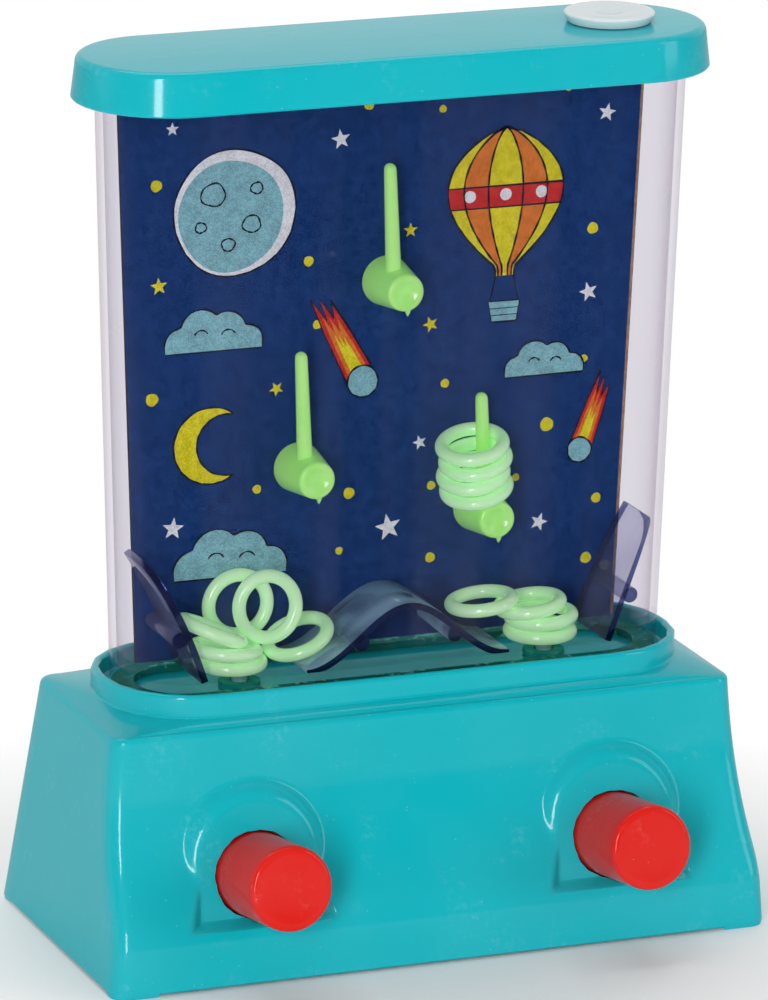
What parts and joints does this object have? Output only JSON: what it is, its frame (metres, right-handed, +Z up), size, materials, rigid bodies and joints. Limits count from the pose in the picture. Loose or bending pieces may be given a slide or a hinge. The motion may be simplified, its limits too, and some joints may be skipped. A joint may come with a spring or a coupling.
{
  "type": "water ring toss game",
  "caption": "Handheld water ring toss game: a clear oblong tank with pegs and loose rings over a flared base with push buttons that pump water jets.",
  "frame": {"origin": "on the table under the middle of the object's outline", "axes": "+Z up, +X towards the player's right, -Y towards the player, where the buttons are"},
  "size_m": [0.1068, 0.0644, 0.1397],
  "materials": {
    "teal": "glossy moulded teal plastic",
    "clear": "clear moulded styrene, faintly lilac at its edges",
    "tinted": "clear moulded plastic with a blue-lilac tint",
    "red": "glossy red plastic",
    "green": "pale luminous-looking green plastic, slightly translucent",
    "white": "soft white plastic",
    "card": "thin sheet with a navy printed front",
    "rubber": "dark rubber",
    "seal": "soft teal silicone",
    "grey": "grey moulded plastic",
    "steel": "plated steel"
  },
  "bodies": {
    "root": {"base_housing": "teal", "bottom_cover": "teal", "cover_screw_front_left": "steel", "cover_screw_back_left": "steel", "cover_screw_front_right": "steel", "cover_screw_back_right": "steel", "tank_gasket": "seal", "water_tank": "clear", "lid_seal": "seal", "lid": "teal", "backing_card": "card", "peg_upper": "green", "peg_left": "green", "peg_right": "green", "ramp_left": "tinted", "ramp_centre": "tinted", "ramp_right": "tinted", "pump_bellows_left": "rubber", "pump_bellows_right": "rubber", "pump_duct_left": "grey", "pump_duct_right": "grey", "jet_seal_left": "seal", "jet_seal_right": "seal"},
    "button_left": {"button_left": "red"},
    "button_right": {"button_right": "red"},
    "fill_plug": {"fill_plug": "white"},
    "ring_01": {"ring_01": "green"},
    "ring_02": {"ring_02": "green"},
    "ring_03": {"ring_03": "green"},
    "ring_04": {"ring_04": "green"},
    "ring_05": {"ring_05": "green"},
    "ring_06": {"ring_06": "green"},
    "ring_07": {"ring_07": "green"},
    "ring_08": {"ring_08": "green"},
    "ring_09": {"ring_09": "green"},
    "ring_10": {"ring_10": "green"},
    "ring_11": {"ring_11": "green"},
    "ring_12": {"ring_12": "green"},
    "ring_13": {"ring_13": "green"},
    "ring_14": {"ring_14": "green"}
  },
  "joints": [
    {"name": "button_left_push", "type": "slide", "parent": "root", "child": "button_left", "axis": [0, 0.9877, -0.1564], "range_m": [0, 0.007], "stiffness_N_per_m": 200, "springref_m": -0.001, "deforming": ["pump_bellows_left"]},
    {"name": "button_right_push", "type": "slide", "parent": "root", "child": "button_right", "axis": [0, 0.9877, -0.1564], "range_m": [0, 0.007], "stiffness_N_per_m": 200, "springref_m": -0.001, "deforming": ["pump_bellows_right"]},
    {"name": "fill_plug_pull", "type": "slide", "parent": "root", "child": "fill_plug", "axis": [0, 0, 1], "range_m": [0, 0.015]},
    {"name": "ring_01_float", "type": "slide", "parent": "root", "child": "ring_01", "axis": [0, 0, 1], "range_m": [0, 0.002]},
    {"name": "ring_04_float", "type": "slide", "parent": "ring_01", "child": "ring_04", "axis": [0, 0, 1], "range_m": [0, 0.002]},
    {"name": "ring_02_float", "type": "slide", "parent": "ring_04", "child": "ring_02", "axis": [0, 0, 1], "range_m": [0, 0.002]},
    {"name": "ring_03_float", "type": "slide", "parent": "ring_02", "child": "ring_03", "axis": [0, 0, 1], "range_m": [0, 0.002]},
    {"name": "ring_06_float", "type": "slide", "parent": "ring_03", "child": "ring_06", "axis": [0, 0, 1], "range_m": [0, 0.002]},
    {"name": "ring_05_float", "type": "slide", "parent": "ring_06", "child": "ring_05", "axis": [0, 0, 1], "range_m": [0, 0.05]},
    {"name": "ring_07_float", "type": "slide", "parent": "root", "child": "ring_07", "axis": [0, 0, 1], "range_m": [0, 0.002]},
    {"name": "ring_08_float", "type": "slide", "parent": "ring_07", "child": "ring_08", "axis": [0, 0, 1], "range_m": [0, 0.002]},
    {"name": "ring_09_float", "type": "slide", "parent": "ring_08", "child": "ring_09", "axis": [0, 0, 1], "range_m": [0, 0.002]},
    {"name": "ring_10_float", "type": "slide", "parent": "ring_09", "child": "ring_10", "axis": [0, 0, 1], "range_m": [0, 0.0015]},
    {"name": "ring_11_float", "type": "slide", "parent": "root", "child": "ring_11", "axis": [0, 0, 1], "range_m": [0, 0.008]},
    {"name": "ring_12_float", "type": "slide", "parent": "ring_11", "child": "ring_12", "axis": [0, 0, 1], "range_m": [0, 0.008]},
    {"name": "ring_13_float", "type": "slide", "parent": "ring_12", "child": "ring_13", "axis": [0, 0, 1], "range_m": [0, 0.008]},
    {"name": "ring_14_float", "type": "slide", "parent": "ring_13", "child": "ring_14", "axis": [0, 0, 1], "range_m": [0, 0.025]}
  ]
}
